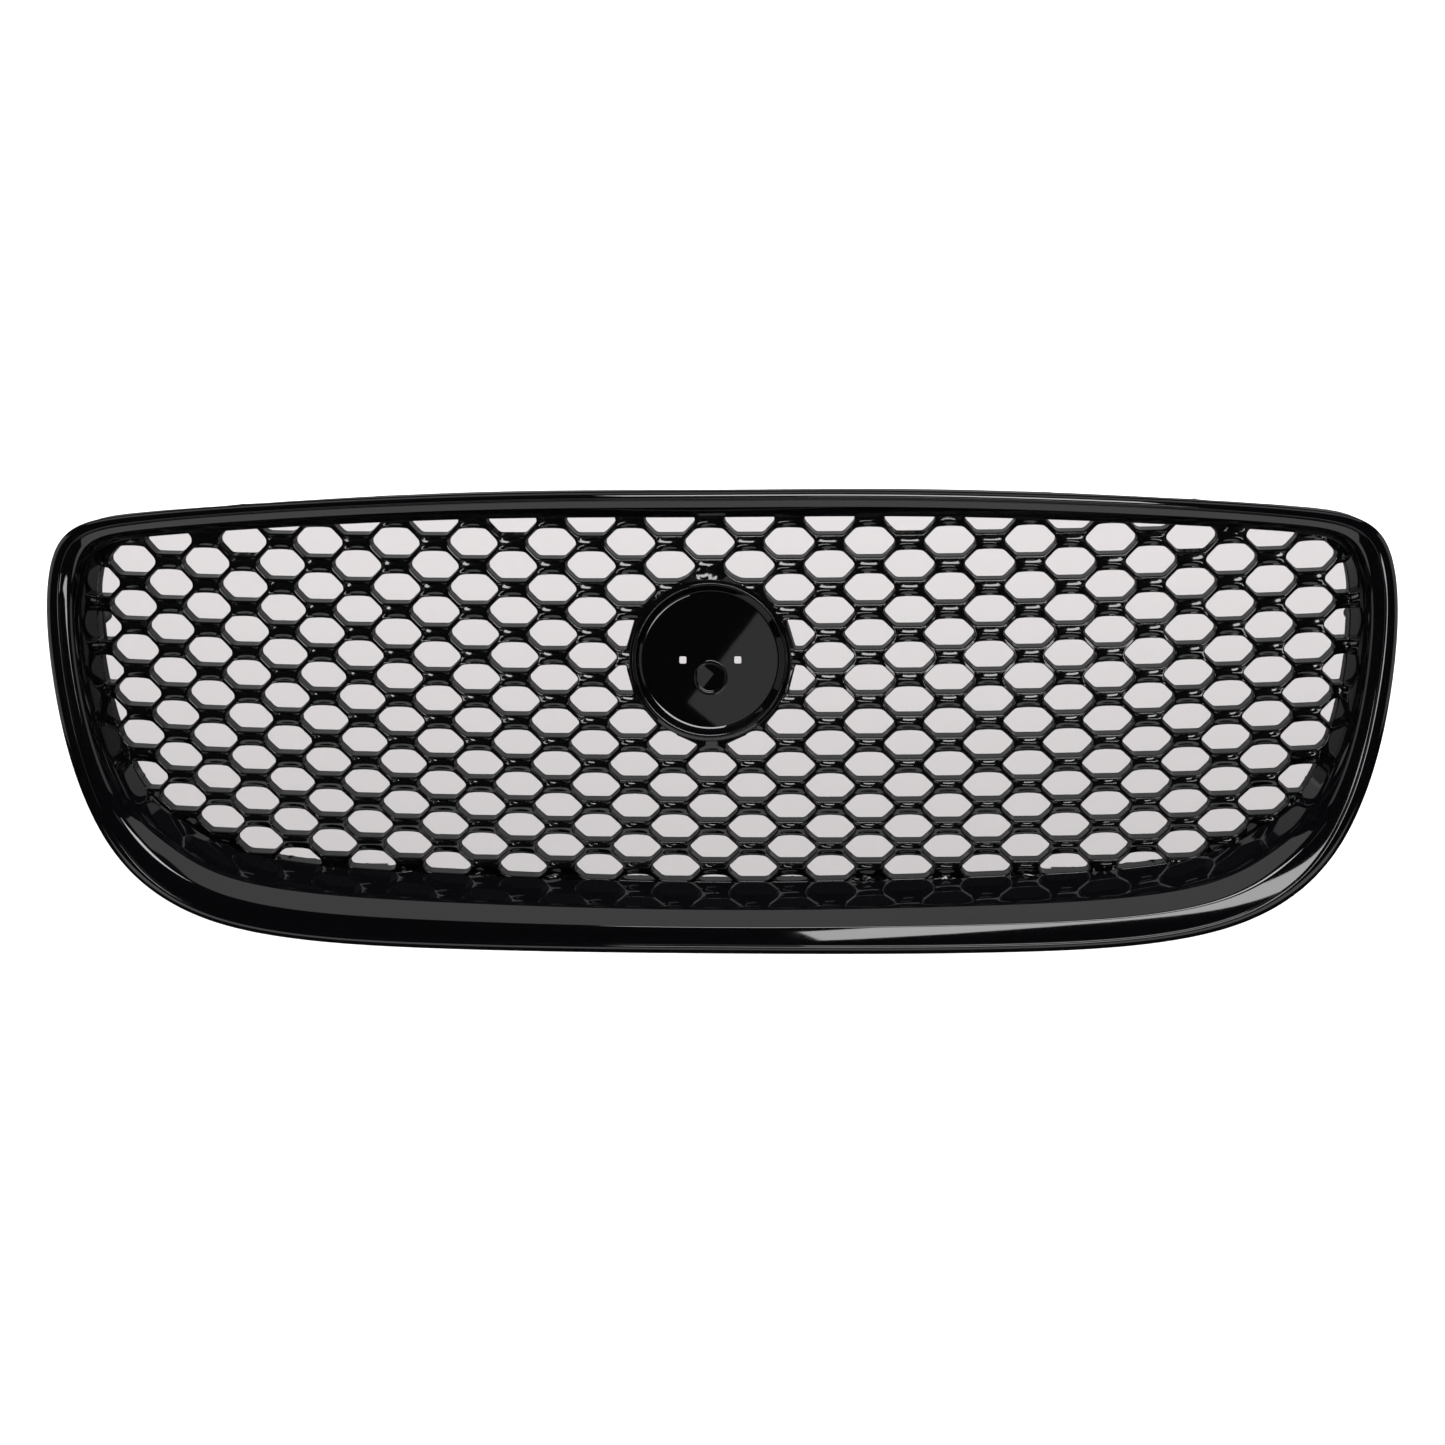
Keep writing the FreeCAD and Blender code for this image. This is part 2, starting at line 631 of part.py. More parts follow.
# Side brackets: an upright plate on one screwed foot, with a round locating pin
# pointing rearward for the bumper's side guides.
for p in side_upper:
    name = "side_bracket_" + side_of(p)
    near = seat_y(p) + FOOT
    inner_edge = p.x - D["foot_radius"] if p.x > 0 else p.x + D["foot_radius"] - 14
    plate = doc.addObject("Part::Box", name + "_plate")
    plate.Length = 14
    plate.setExpression("Width", "dims.bracket_plate")
    plate.Height = 50
    plate.Placement = Placement(Vector(inner_edge, near, p.z - 38), Rotation())
    foot = doc.addObject("Part::Cylinder", name + "_foot")
    foot.setExpression("Radius", "dims.foot_radius")
    foot.Height = FOOT + 1
    foot.Placement = Placement(Vector(p.x, near - FOOT, p.z), REARWARD)
    pin = doc.addObject("Part::Cylinder", name + "_pin")
    pin.setExpression("Radius", "dims.pin_radius")
    pin.setExpression("Height", "dims.pin_length + dims.bracket_plate")
    pin.Placement = Placement(Vector(inner_edge + 7, near, p.z - 26), REARWARD)
    blank = doc.addObject("Part::MultiFuse", name + "_blank")
    blank.Shapes = [plate, foot, pin]
    bore = doc.addObject("Part::Cylinder", name + "_bore")
    bore.setExpression("Radius", "dims.screw_radius + 0.3")
    bore.Height = FOOT + 10
    bore.Placement = Placement(Vector(p.x, near - FOOT - 2, p.z), REARWARD)
    bracket = doc.addObject("Part::Cut", name)
    bracket.Base = blank
    bracket.Tool = bore
    bracket.Label = name
    nodes[name] = bracket
doc.recompute()
head_rest = FOOT + D["bracket_plate"]
nodes["bracket_screws"] = add_part(
    "bracket_screws", placed(long_screw, [seat_place(p, head_rest) for p in screwed]))

# ------------------------------------------------------------- nuts and clips
# Sheet-steel U-nuts slide over the end of each upper shelf; sprung steel clips sit
# on the lower tongues and snap into the bumper's slots.
nut_y = FOOT + D["shelf_length"] - 12
nut = new_body("u_nut")
fold = sketch_in(nut, "nut_fold", "YZ_Plane")
sheet_out = "dims.bracket_plate + dims.nut_sheet"
polygon(fold, [
    ("-dims.nut_length + 12.1", "dims.nut_sheet"), ("12.1 + dims.nut_sheet", "dims.nut_sheet"),
    ("12.1 + dims.nut_sheet", "-" + sheet_out.replace("+", "-")),
    ("-dims.nut_length + 12.1", "-" + sheet_out.replace("+", "-")),
    ("-dims.nut_length + 12.1", "-dims.bracket_plate"), ("12.1", "-dims.bracket_plate"),
    ("12.1", "0"), ("-dims.nut_length + 12.1", "0"),
])
grow(nut, "Pad", "nut_sheet_pad", fold, "dims.nut_width", both=True)
barrel = sketch_in(nut, "nut_barrel", "XY_Plane", "-dims.bracket_plate - dims.nut_sheet / 2")
circle(barrel, "dims.nut_barrel")
grow(nut, "Pad", "nut_barrel_pad", barrel, "dims.nut_barrel + dims.nut_sheet / 2", flip=True)
thread = sketch_in(nut, "nut_thread", "XY_Plane", "dims.nut_sheet + 1")
circle(thread, "dims.fixing_radius - 0.8")
grow(nut, "Pocket", "nut_thread_pocket", thread, "30")
nut_places = []
for p in bracket_top:
    spot = Vector(p.x, seat_y(p) + nut_y, p.z - D["upper_drop"])
    nut_places.append(Placement(spot, Rotation()))
nodes["upper_u_nuts"] = add_part("upper_u_nuts", placed(nut, nut_places))

clip = new_body("spring_clip")
bend = sketch_in(clip, "clip_bend", "YZ_Plane")
half, leaf = "dims.bracket_plate / 2", "dims.clip_sheet"
outer, bow = half + " + " + leaf, half + " + dims.clip_bow"
polygon(bend, [
    ("dims.clip_sheet + 0.1", "-(" + outer + ")"), ("dims.clip_sheet + 0.1", outer),
    ("-dims.clip_length * 0.45", bow + " + " + leaf), ("-dims.clip_length", outer),
    ("-dims.clip_length", half), ("-dims.clip_length * 0.45", bow), ("0.1", half),
    ("0.1", "-(" + half + ")"), ("-dims.clip_length * 0.45", "-(" + bow + ")"),
    ("-dims.clip_length", "-(" + half + ")"), ("-dims.clip_length", "-(" + outer + ")"),
    ("-dims.clip_length * 0.45", "-(" + bow + " + " + leaf + ")"),
])
grow(clip, "Pad", "clip_pad", bend, "dims.clip_width", both=True)
clip_places = []
for p in bracket_base:
    tip = Vector(p.x, seat_y(p) + FOOT + D["shelf_length"],
                 p.z - D["lower_drop"] + D["bracket_plate"] / 2)
    clip_places.append(Placement(tip, Rotation()))
nodes["lower_spring_clips"] = add_part("lower_spring_clips", placed(clip, clip_places))

# ------------------------------------------------------------------- edge foam
# Self-adhesive foam strip on the rear edge of the surround's outer wall.
back, thick = D["wall_depth"], D["foam"]
foam_shape = skin_solid([
    loop(lambda w, d, b, c, t: (t, back)),
    loop(lambda w, d, b, c, t: (t + skin, back)),
    loop(lambda w, d, b, c, t: (t + skin, back + thick)),
    loop(lambda w, d, b, c, t: (t, back + thick)),
])
nodes["rear_edge_foam"] = add_part("rear_edge_foam", foam_shape)

# ---------------------------------------------------------------------- output
doc.recompute()
for item in doc.Objects:
    if "Invalid" in item.State or "Error" in item.State:
        raise RuntimeError("object in error: " + item.Label)
os.makedirs("parts", exist_ok=True)
seat = DISH.multVec(Vector(0, 0, -D["dish_recess"]))
for name, item in nodes.items():
    shape = item.Shape.copy()
    if shape.isNull() or not shape.isValid() or not shape.Solids:
        raise RuntimeError("bad shape: " + name)
    shape.translate(-seat)
    shape.exportStep(os.path.join("parts", name + ".step"))
    box = shape.BoundBox
    print("%-28s solids %3d volume %10.0f  x %7.1f %7.1f  y %7.1f %7.1f  z %7.1f %7.1f" % (
        name, len(shape.Solids), shape.Volume, box.XMin, box.XMax, box.YMin, box.YMax,
        box.ZMin, box.ZMax))
for p in bracket_top:
    print("upper fixing", Vector(p.x, seat_y(p) + nut_y, p.z - D["upper_drop"]) - seat)
for p in side_upper:
    rest = seat_y(p) + FOOT + D["bracket_plate"]
    across = p.x + math.copysign(7 - D["foot_radius"], p.x)
    print("side pin", Vector(across, rest, p.z - 26) - seat)
for p in bracket_base:
    tongue = p.z - D["lower_drop"] + D["bracket_plate"] / 2
    print("lower clip", Vector(p.x, seat_y(p) + FOOT + D["shelf_length"], tongue) - seat)
print("emblem boss", DISH.multVec(Vector(0, -D["boss_drop"], -D["dish_recess"])) - seat)
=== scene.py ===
import math

import bmesh
import bpy
import numpy as np
from mathutils import Matrix, Vector
from mathutils.geometry import delaunay_2d_cdt


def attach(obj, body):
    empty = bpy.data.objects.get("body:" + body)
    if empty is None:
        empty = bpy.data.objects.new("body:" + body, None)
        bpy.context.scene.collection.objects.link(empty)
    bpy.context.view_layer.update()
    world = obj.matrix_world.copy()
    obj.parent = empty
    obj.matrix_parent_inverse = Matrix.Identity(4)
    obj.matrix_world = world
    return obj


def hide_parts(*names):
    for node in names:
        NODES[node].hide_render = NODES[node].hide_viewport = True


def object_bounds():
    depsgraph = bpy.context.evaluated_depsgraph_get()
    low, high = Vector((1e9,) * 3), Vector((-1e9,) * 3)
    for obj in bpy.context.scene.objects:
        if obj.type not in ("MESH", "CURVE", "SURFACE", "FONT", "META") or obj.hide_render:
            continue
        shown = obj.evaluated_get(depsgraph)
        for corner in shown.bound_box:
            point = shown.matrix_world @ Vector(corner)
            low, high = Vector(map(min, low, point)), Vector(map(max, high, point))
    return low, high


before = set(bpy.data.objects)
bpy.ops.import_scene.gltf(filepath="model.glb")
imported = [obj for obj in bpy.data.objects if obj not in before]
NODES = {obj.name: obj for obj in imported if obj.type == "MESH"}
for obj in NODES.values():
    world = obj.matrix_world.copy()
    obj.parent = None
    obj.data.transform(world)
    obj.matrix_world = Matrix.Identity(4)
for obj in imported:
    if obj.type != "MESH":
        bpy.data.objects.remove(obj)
cad_box = [list(corner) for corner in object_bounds()]

# ------------------------------------------------------------------ the studio
# The grille hangs above a white floor swept up behind it. Two lamps light the floor
# alone and cast no shadows; all the other panels show only as reflections in the
# gloss. The sweep stands on one side only, so from behind the far end looks dark.
camera_data = bpy.data.cameras.new("camera")
camera_data.lens = 57.30
camera_data.sensor_width = 36.0
camera_data.clip_end = 50.0
camera = bpy.data.objects.new("camera", camera_data)
bpy.context.scene.collection.objects.link(camera)
bpy.context.scene.camera = camera
YAW, TILT, ROLL = math.radians(-4.02), math.radians(18.82), math.radians(-1.24)
ahead = Vector((math.sin(YAW) * math.cos(TILT), math.cos(YAW) * math.cos(TILT), -math.sin(TILT)))
level = Vector((math.cos(YAW), -math.sin(YAW), 0.0))
upright = level.cross(ahead)
right = level * math.cos(ROLL) + upright * math.sin(ROLL)
top = upright * math.cos(ROLL) - level * math.sin(ROLL)
camera.matrix_world = Matrix((
    (right.x, top.x, -ahead.x, 0.103),
    (right.y, top.y, -ahead.y, -1.36804),
    (right.z, top.z, -ahead.z, 0.42616),
    (0.0, 0.0, 0.0, 1.0),
))

FLOOR_GAP = 0.09
FLOOR_Z = cad_box[0][2] - FLOOR_GAP


def studio_sheet():
    """Floor and backdrop in one sweep: flat at y below 2.5 m, then a quarter circle of
    radius 1 m, then upright. Returns the grid of points across x and along the sweep."""
    turn = np.linspace(0, math.pi / 2, 25)
    y = np.concatenate([[-6.0, 0.0], 2.5 + np.sin(turn), [3.5]])
    z = np.concatenate([[0.0, 0.0], 1.0 - np.cos(turn), [5.0]]) + FLOOR_Z
    x = np.linspace(-7, 7, 5)
    return np.stack([np.broadcast_to(v, (5, len(y))) for v in (x[:, None], y, z)], axis=-1)


def grid_faces(rows, columns, close_rows=False, close_columns=False):
    """Corner numbers of the quads of a grid of points, row by row; a closed direction
    joins its last line of points to its first."""
    i = np.arange(rows if close_rows else rows - 1)
    j = np.arange(columns if close_columns else columns - 1)
    i, j = [g.ravel() for g in np.meshgrid(i, j, indexing="ij")]
    ii, jj = (i + 1) % rows, (j + 1) % columns
    return np.stack([i * columns + j, ii * columns + j, ii * columns + jj, i * columns + jj], -1)


def new_piece(name, points, faces, crease=40.0):
    """Mesh object from points in metres and faces as corner numbers; points that meet
    are merged, and it is smooth except where it turns by more than crease degrees."""
    mesh = bpy.data.meshes.new(name)
    points = np.asarray(points).reshape(-1, 3)
    if isinstance(faces, np.ndarray):
        used, numbers = np.unique(faces, return_inverse=True)
        points, faces = points[used], numbers.reshape(faces.shape).tolist()
    mesh.from_pydata(points.tolist(), [], faces)
    shell = bmesh.new()
    shell.from_mesh(mesh)
    bmesh.ops.remove_doubles(shell, verts=shell.verts, dist=1e-5)
    shell.to_mesh(mesh)
    shell.free()
    mesh.validate()
    mesh.shade_smooth()
    mesh.set_sharp_from_angle(angle=math.radians(crease))
    piece = bpy.data.objects.new(name, mesh)
    bpy.context.scene.collection.objects.link(piece)
    return piece


sweep = studio_sheet()
floor = new_piece("studio_floor", sweep, grid_faces(*sweep.shape[:2]))
floor.visible_glossy = False
paper = bpy.data.materials.new("studio_paper")
paper.use_nodes = True
paper_shader = paper.node_tree.nodes["Principled BSDF"]
paper_shader.inputs["Base Color"].default_value = (0.8, 0.79, 0.79, 1)
paper_shader.inputs["Roughness"].default_value = 0.9
paper_shader.inputs["Specular IOR Level"].default_value = 0.0
floor.data.materials.append(paper)

world = bpy.data.worlds.new("studio_air")
world.use_nodes = True
world.node_tree.nodes["Background"].inputs["Color"].default_value = (0.02, 0.02, 0.022, 1)
bpy.context.scene.world = world
bpy.context.scene.view_settings.view_transform = "Standard"


def lamp(name, turn, lift, distance, size, radiance, floor_only=False, aim=(0, 0, 0), roll=0):
    """Rectangular panel seen from the aim point at turn degrees to the right of straight
    ahead and lift degrees up, rolled about that line; its power is radiance x area x pi.
    A panel either lights the floor alone, without shadows, or shows only in gloss."""
    data = bpy.data.lights.new(name, "AREA")
    data.shape = "RECTANGLE"
    data.size, data.size_y = size
    data.energy = radiance * size[0] * size[1] * math.pi
    data.use_shadow = not floor_only
    light = bpy.data.objects.new(name, data)
    turn, lift = math.radians(turn), math.radians(lift)
    towards = Vector((math.sin(turn) * math.cos(lift), -math.cos(turn) * math.cos(lift),
                      math.sin(lift)))
    facing = (-towards).to_track_quat("-Z", "Y").to_matrix().to_4x4()
    facing = facing @ Matrix.Rotation(math.radians(roll), 4, "Z")
    light.matrix_world = Matrix.Translation(Vector(aim) + towards * distance) @ facing
    light.visible_glossy = not floor_only
    light.visible_diffuse = floor_only
    light.visible_camera = False
    bpy.context.scene.collection.objects.link(light)


lamp("floor_key", 0, 89, 4.0, (5.0, 5.0), 4.2, floor_only=True, aim=(0, 0.5, FLOOR_Z))
lamp("floor_far", 0, 35, 3.0, (5.0, 1.0), 6.0, floor_only=True, aim=(0, 3.5, 0.2))
lamp("softbox_high", 8, 38, 2.2, (1.2, 0.75), 12.0)
lamp("softbox_low", 12.8, 0.5, 1.85, (0.78, 0.165), 9.0, roll=14.4)
lamp("panel_overhead", 0, 88, 1.7, (4.0, 0.85), 1.05)
lamp("panel_front_low", 0, -45, 1.1, (3.2, 0.55), 1.2)
lamp("panel_left", -88, 5, 2.4, (2.2, 1.6), 0.8)
lamp("panel_right", 88, 5, 2.4, (2.2, 1.6), 0.8)
lamp("panel_room", -0.9, 15, 2.0, (0.14, 0.3), 0.7, roll=-38)
lamp("panel_behind", 180, -12, 4.2, (10.0, 2.6), 0.12)
lamp("panel_behind_high", 180, 20, 4.4, (12.0, 2.6), 0.35)

# ---------------------------------------------------------------- the surround
# One gloss-black moulding: a shallow outer wall, a rolled bead, a crease, then a
# shoulder that turns into the inner wall and runs back to the mesh. Hollow behind.
# Sizes in this file are millimetres from the front of the mesh on the centre line;
# SEAT is the centre of the emblem seat, where the finished part has its origin.
SEAT = np.array([0.0, 2.037, 12.842])
HALF_WIDTH, RISE, DROP = 417.4, 122.7, 167.0
SIDE_WIDTH, TOP_WIDTH, BASE_WIDTH = 23.4, 19.3, 32.2
SKIN, WALL_DEPTH = 2.8, 16.0
EDGE = np.array([
    (0.000, 1.000, 0.00, 1.00), (0.393, 0.983, 0.17, 0.96), (0.873, 0.866, 0.53, 0.90),
    (0.987, 0.684, 0.89, 0.66), (1.000, -0.063, 1.00, 0.01), (0.961, -0.478, 1.16, 0.15),
    (0.901, -0.726, 1.20, 0.63), (0.769, -0.917, 0.68, 1.00), (0.434, -0.995, 0.21, 1.08),
    (0.000, -1.000, 0.00, 1.00),
])


def to_row(points):
    """Millimetres on the mesh front to metres from the emblem seat."""
    return (points - SEAT) / 1000


def mesh_front(x, z):
    """Depth of the mesh front: swept back to both sides, leaning back at the top."""
    u, v = x / 100, z / 100
    return 0.925 * u**2 + 0.0374 * u**4 + 13.93 * v + 7.955 * v**2


def rim_front(x, z):
    """Depth of the surround's outer edge, 27 mm ahead of the mesh."""
    u, v = x / 100, z / 100
    return 0.85 * (0.925 * u**2 + 0.0374 * u**4) + 13.93 * v + 3.0 * v**2 - 27.0


def edge_points():
    """Outer and inner edge of the surround, all the way round from the top centre, and
    the distances at which they are passed (square root of each chord, added up)."""
    tall = np.where(EDGE[:, 1] > 0, RISE, DROP)
    wide = np.where(EDGE[:, 1] > 0, -TOP_WIDTH, BASE_WIDTH)
    outer = np.stack([EDGE[:, 0] * HALF_WIDTH, EDGE[:, 1] * tall], axis=1)
    inner = outer + np.stack([-EDGE[:, 2] * SIDE_WIDTH, EDGE[:, 3] * wide], axis=1)
    left = slice(-2, 0, -1)
    outer = np.concatenate([outer, outer[left] * (-1, 1)])
    inner = np.concatenate([inner, inner[left] * (-1, 1)])
    chord = np.linalg.norm(np.roll(outer, -1, axis=0) - outer, axis=1)
    return outer, inner, np.concatenate([[0], np.cumsum(np.sqrt(chord))])


def closed_curve(knots, points, t):
    """Closed cubic spline through points at knots, evaluated at t: between two knots it
    is the cubic whose second derivatives match the neighbours' all the way round."""
    n = len(points)
    h = np.diff(knots)
    before = np.roll(h, 1)
    k = np.arange(n)
    bend = np.zeros((n, n))
    bend[k, k - 1] = before
    bend[k, k] = 2 * (before + h)
    bend[k, (k + 1) % n] = h
    ahead_p, behind_p = np.roll(points, -1, axis=0), np.roll(points, 1, axis=0)
    pull = 6 * ((ahead_p - points) / h[:, None] - (points - behind_p) / before[:, None])
    second = np.linalg.solve(bend, pull)
    t = np.mod(t, knots[-1])
    i = np.clip(np.searchsorted(knots, t, side="right") - 1, 0, n - 1)
    j, step = (i + 1) % n, h[i][:, None]
    a, b = (knots[i + 1] - t)[:, None], (t - knots[i])[:, None]
    return (second[i] * a**3 / (6 * step) + second[j] * b**3 / (6 * step)
            + (points[i] / step - second[i] * step / 6) * a
            + (points[j] / step - second[j] * step / 6) * b)


STATIONS = 720
outer_points, inner_points, edge_knots = edge_points()
run = edge_knots[-1] * np.arange(STATIONS) / STATIONS
outer = closed_curve(edge_knots, outer_points, run)
inner = closed_curve(edge_knots, inner_points, run)
width = np.linalg.norm(inner - outer, axis=1)
inward = (inner - outer) / width[:, None]
front = rim_front(*outer.T)
reach = mesh_front(*inner.T) - front
side_share = inward[:, 0] ** 2
upper = np.clip(0.5 - 2.5 * inward[:, 1], 0, 1)
bead = side_share * 9.5 + (1 - side_share) * (4.5 * upper + 7.5 * (1 - upper))
crest = side_share * 4.0 + (1 - side_share) * (4.0 * upper + 6.5 * (1 - upper))


def section(parts):
    """Carries a section round the surround. parts is a list of (inset, depth) pairs,
    each one number or one value per station; the result is stations x parts x 3."""
    inset = np.stack([np.broadcast_to(p[0], STATIONS) for p in parts], axis=1)
    depth = np.stack([np.broadcast_to(p[1], STATIONS) for p in parts], axis=1)
    flat = outer[:, None, :] + inward[:, None, :] * inset[..., None]
    return np.stack([flat[..., 0], front[:, None] + depth, flat[..., 1]], axis=-1)


def blend(top, side, base):
    """A size that changes smoothly from the top run to the sides and the bottom run."""
    return side_share * side + (1 - side_share) * (top * upper + base * (1 - upper))


tuck = blend(5.0, 0.9, 0.9)
across, fall = width - bead, reach - 0.1 + crest
corners = [
    (bead + 1.0, 0.15 - crest),
    (bead + blend(0.36, 0.46, 0.47) * across, blend(0.037, 0.052, 0.064) * fall - crest),
    (bead + blend(0.88, 0.80, 0.79) * across, blend(0.205, 0.36, 0.33) * fall - crest),
    (width, reach - 0.1),
]


def rounded_corner(before, corner, after, cut_before, cut_after, count=7):
    """Points rounding a corner: the curve that leaves one side at cut_before from the
    corner and meets the other at cut_after, as (1-t)^2 A + 2t(1-t) C + t^2 B."""
    before, corner, after = (np.stack([np.broadcast_to(v, STATIONS) for v in p], axis=1)
                             for p in (before, corner, after))
    back, on = before - corner, after - corner
    start = corner + back / np.linalg.norm(back, axis=1)[:, None] * cut_before[:, None]
    end = corner + on / np.linalg.norm(on, axis=1)[:, None] * cut_after[:, None]
    curve = [(1 - t) ** 2 * start + 2 * t * (1 - t) * corner + t**2 * end
             for t in np.linspace(0, 1, count)]
    return [(p[:, 0], p[:, 1]) for p in curve]


turns = np.linspace(0, math.pi / 2, 11)
profile = [(tuck, WALL_DEPTH), (0.55 * tuck, 8.0), (0.12 * tuck, 2.5)]
profile += [((bead - 0.9) * (1 - math.cos(a)), -crest * math.sin(a)) for a in turns]
profile += [(bead - 0.45, 0.25 - crest), (bead - 0.1, 0.85 - crest), (bead + 0.1, 0.9 - crest),
            (bead + 0.45, 0.45 - crest), (bead + 0.8, 0.12 - crest)]
profile += [corners[0]]
profile += rounded_corner(*corners[0:3], blend(0.5, 3.2, 0.5), blend(0.5, 3.2, 0.5))
profile += rounded_corner(*corners[1:4], blend(0.8, 3.5, 1.6), blend(1.2, 7.0, 3.0), 9)
profile += [corners[3], (width - SKIN, reach - 0.1)]
profile += [(corners[2][0] - SKIN, corners[2][1] + 0.8),
            (corners[1][0] - 0.9, corners[1][1] + SKIN),
            (bead - 0.4, 0.7 - crest + SKIN), (0.9 + SKIN, 0.6 + SKIN), (tuck + SKIN, WALL_DEPTH)]
skin_grid = section(profile)
surround = new_piece(
    "surround_moulding", to_row(skin_grid),
    grid_faces(STATIONS, len(profile), close_rows=True, close_columns=True)[:, ::-1])
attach(surround, "root")
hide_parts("surround")


def gloss_black(name, tint, shine, ripple):
    """Black injection-moulded plastic with a lacquer-like face: the lacquer is slightly
    uneven over centimetres and carries very fine polishing haze over millimetres."""
    material = bpy.data.materials.new(name)
    material.use_nodes = True
    nodes, links = material.node_tree.nodes, material.node_tree.links
    shader = nodes["Principled BSDF"]
    place = nodes.new("ShaderNodeTexCoord")
    haze = nodes.new("ShaderNodeTexNoise")
    haze.inputs["Scale"].default_value = 260.0
    haze.inputs["Detail"].default_value = 4.0
    links.new(place.outputs["Object"], haze.inputs["Vector"])
    shine_range = nodes.new("ShaderNodeMapRange")
    shine_range.inputs["To Min"].default_value = shine * 0.7
    shine_range.inputs["To Max"].default_value = shine * 1.4
    links.new(haze.outputs["Fac"], shine_range.inputs["Value"])
    links.new(shine_range.outputs["Result"], shader.inputs["Roughness"])
    tone = nodes.new("ShaderNodeMix")
    tone.data_type = "RGBA"
    tone.inputs["A"].default_value = (*tint, 1)
    tone.inputs["B"].default_value = (*[c * 1.5 for c in tint], 1)
    links.new(haze.outputs["Fac"], tone.inputs["Factor"])
    links.new(tone.outputs["Result"], shader.inputs["Base Color"])
    wave = nodes.new("ShaderNodeTexNoise")
    wave.inputs["Scale"].default_value = 35.0
    wave.inputs["Detail"].default_value = 1.0
    links.new(place.outputs["Object"], wave.inputs["Vector"])
    bump = nodes.new("ShaderNodeBump")
    bump.inputs["Strength"].default_value = ripple
    bump.inputs["Distance"].default_value = 0.0004
    links.new(wave.outputs["Fac"], bump.inputs["Height"])
    links.new(bump.outputs["Normal"], shader.inputs["Normal"])
    return material


surround.data.materials.append(
    gloss_black("surround_gloss_black", (0.0015, 0.0015, 0.002), 0.035, 0.03))

# -------------------------------------------------------------- the mesh insert
# A honeycomb of octagonal cells moulded in one with a rear flange. Cell walls run
# straight back; their front edges are rounded and a saddle-shaped bar, set back
# between two rims, joins each pair of cells across the gaps.
PITCH, ROW = 24.8, 13.926
MESH_DEPTH, FLANGE = 8.5, 10.5
FLAT, HALF_CELL, END, TALL = 8.5, 15.7, 1.75, 8.87
EDGE_ROUND = 0.75
FRONT_LIMIT, BACK_LIMIT = 2.4, 0.3
FRONT_OVERLAP, MIN_SHARE = 2.2, 0.15
DISH_TILT = math.radians(16.0)
DISH_Y, DISH_Z = -2.0, 14.0
RING = 50.8


def tile_corners():
    """Points round one hexagonal tile, spaced alike both ways along each edge so that
    neighbouring tiles share them."""
    slope = np.array([0, 0.07, 0.14, 0.22, 0.291, 0.4, 0.5, 0.6, 0.709, 0.78, 0.86, 0.93])
    flat = np.arange(8) / 8
    nose, brow = np.array([PITCH - 5.37, 0.0]), np.array([5.37, ROW])
    corners = [nose, brow, brow * (-1, 1), -nose, -brow, brow * (1, -1)]
    ring = []
    for k in range(6):
        a, b = corners[k], corners[(k + 1) % 6]
        share = flat if k in (1, 4) else slope
        ring.append(a + (b - a) * share[:, None])
    return np.concatenate(ring)


def dish_radius(x, z):
    """Distance of a point on the mesh front from the emblem's tilted axis."""
    y = mesh_front(x, z)
    up = (y - DISH_Y) * math.sin(DISH_TILT) + (z - DISH_Z) * math.cos(DISH_TILT)
    return np.hypot(x, up)


def cell_centres():
    """Lattice points whose tile touches the mesh, every other one in each row."""
    a, b = np.meshgrid(np.arange(-18, 19), np.arange(-14, 11), indexing="ij")
    keep = (a + b) % 2 == 0
    centres = np.stack([a[keep] * PITCH, b[keep] * ROW], axis=1)
    apart = np.linalg.norm(centres[:, None] - inner[None], axis=2)
    near = apart.argmin(axis=1)
    outside = ((centres - inner[near]) * -inward[near]).sum(axis=1)
    seen = (outside < FLANGE + 14) & (dish_radius(*centres.T) > 38)
    return centres[seen], near[seen]


def cell_planes(centres, near):
    """Sides of each opening as unit normals and distances from the tile's centre: the
    octagon's eight, the mesh edge in five pieces and the emblem ring in one."""
    slant = np.array([TALL - END, HALF_CELL - FLAT])
    slant /= np.linalg.norm(slant)
    far = slant @ (FLAT, TALL)
    signs = np.array([(1, 1), (1, -1), (-1, 1), (-1, -1)])
    normals = np.concatenate([[(1, 0), (-1, 0), (0, 1), (0, -1)], signs * slant])
    distances = np.array([HALF_CELL, HALF_CELL, TALL, TALL, far, far, far, far])
    count = len(centres)
    normals = np.broadcast_to(normals, (count, 8, 2))
    distances = np.broadcast_to(distances, (count, 8))
    around = (near[:, None] + np.array([-10, -5, 0, 5, 10])) % STATIONS
    along = inner[(around + 1) % STATIONS] - inner[around - 1]
    out = np.stack([-along[..., 1], along[..., 0]], axis=-1)
    out /= np.linalg.norm(out, axis=2, keepdims=True)
    out *= np.sign((out * -inward[around]).sum(axis=2, keepdims=True))
    edge = ((inner[around] - centres[:, None]) * out).sum(axis=2) - 0.4
    step = 0.01
    here = dish_radius(*centres.T)
    slope = np.stack([dish_radius(centres[:, 0] + step, centres[:, 1]) - here,
                      dish_radius(centres[:, 0], centres[:, 1] + step) - here], 1) / step
    steep = np.linalg.norm(slope, axis=1, keepdims=True)
    ring_out = -(slope / steep)[:, None]
    ring_far = ((here - RING - 1.6) / steep[:, 0])[:, None]
    return (np.concatenate([normals, out, ring_out], axis=1),
            np.concatenate([distances, edge, ring_far], axis=1))


